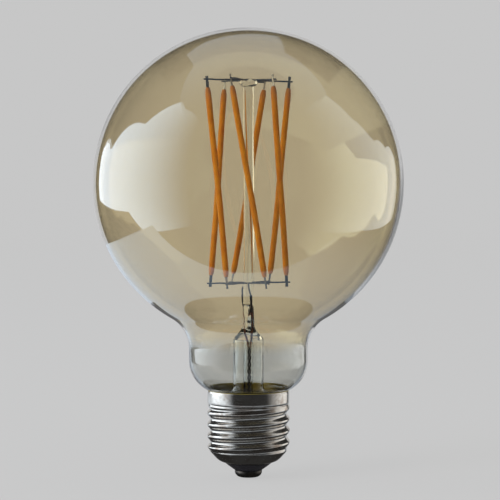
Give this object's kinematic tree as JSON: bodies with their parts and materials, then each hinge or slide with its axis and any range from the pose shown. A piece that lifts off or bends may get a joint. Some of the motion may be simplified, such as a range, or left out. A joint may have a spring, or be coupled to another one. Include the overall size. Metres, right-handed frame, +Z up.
{
  "type": "smart light bulb",
  "caption": "Smart LED filament lamp: tinted glass globe on an Edison screw cap, leaning filaments on a glass stem, driver and wireless board inside the cap.",
  "frame": {"origin": "bottom centre of the centre contact, where the bulb's axis meets the tip of the cap", "axes": "+Z up the bulb's axis, from the cap's centre contact to the crown of the globe; -Y is the front"},
  "size_m": [0.0974, 0.0974, 0.1412],
  "materials": {
    "tinted_glass": "amber half-mirror tint that fades out to clear in the neck, polished",
    "clear_glass": "clear, polished",
    "dark_wire": "oxidised nickel wire",
    "seal_wire": "reddish copper-clad wire",
    "supply_wire": "copper wire",
    "dark_sleeve": "dark insulating sleeve",
    "phosphor": "matte orange phosphor silicone",
    "strip": "translucent ceramic strip",
    "chip": "LED chips",
    "tab": "stamped tab",
    "cap_metal": "nickel plated, polished",
    "black_glass": "black vitreous insulator, glossy",
    "contact_metal": "dark soldered contact",
    "pin_metal": "brass",
    "cement": "olive capping cement",
    "film": "amber insulating film",
    "green_board": "green circuit board",
    "blue_board": "dark blue circuit board",
    "black_package": "moulded package",
    "can": "bright metal can",
    "blue_sleeve": "shrink sleeve",
    "ferrite": "dark ferrite",
    "winding": "enamelled copper",
    "resistor": "lacquered body",
    "gold": "gold plated",
    "passive": "chip parts",
    "red_wire": "insulated wire",
    "blue_wire": "insulated wire",
    "solder": "solder"
  },
  "bodies": {
    "root": {"globe": "tinted_glass", "stem_flare": "clear_glass", "stem_press": "clear_glass", "exhaust_tube": "clear_glass", "centre_rod": "clear_glass", "top_button": "clear_glass", "top_star_wires": "dark_wire", "lower_star_live": "dark_wire", "lower_star_neutral": "dark_wire", "inner_lead_live": "dark_wire", "inner_lead_neutral": "dark_wire", "dumet_live": "seal_wire", "dumet_neutral": "seal_wire", "outer_lead_live": "supply_wire", "outer_lead_neutral": "supply_wire", "lead_sleeves": "dark_sleeve", "filament_1": "phosphor", "filament_2": "phosphor", "filament_3": "phosphor", "filament_4": "phosphor", "filament_5": "phosphor", "filament_6": "phosphor", "filament_strips": "strip", "led_chips": "chip", "filament_tabs_upper": "tab", "filament_tabs_lower": "tab", "cap_shell": "cap_metal", "cap_insulator": "black_glass", "centre_contact": "contact_metal", "contact_pin": "pin_metal", "cap_cement": "cement", "insulating_disc": "film", "driver_board": "green_board", "rectifier": "black_package", "smoothing_capacitor": "can", "capacitor_sleeve": "blue_sleeve", "driver_chip": "black_package", "flyback_diode": "black_package", "inductor_core": "ferrite", "inductor_winding": "winding", "fusible_resistor": "resistor", "wireless_board": "blue_board", "wireless_chip": "black_package", "crystal_oscillator": "can", "shield_can": "can", "antenna_trace": "gold", "header_pins": "gold", "chip_passives": "passive", "live_wire": "red_wire", "neutral_wire": "blue_wire", "solder_joints": "solder"}
  },
  "joints": []
}
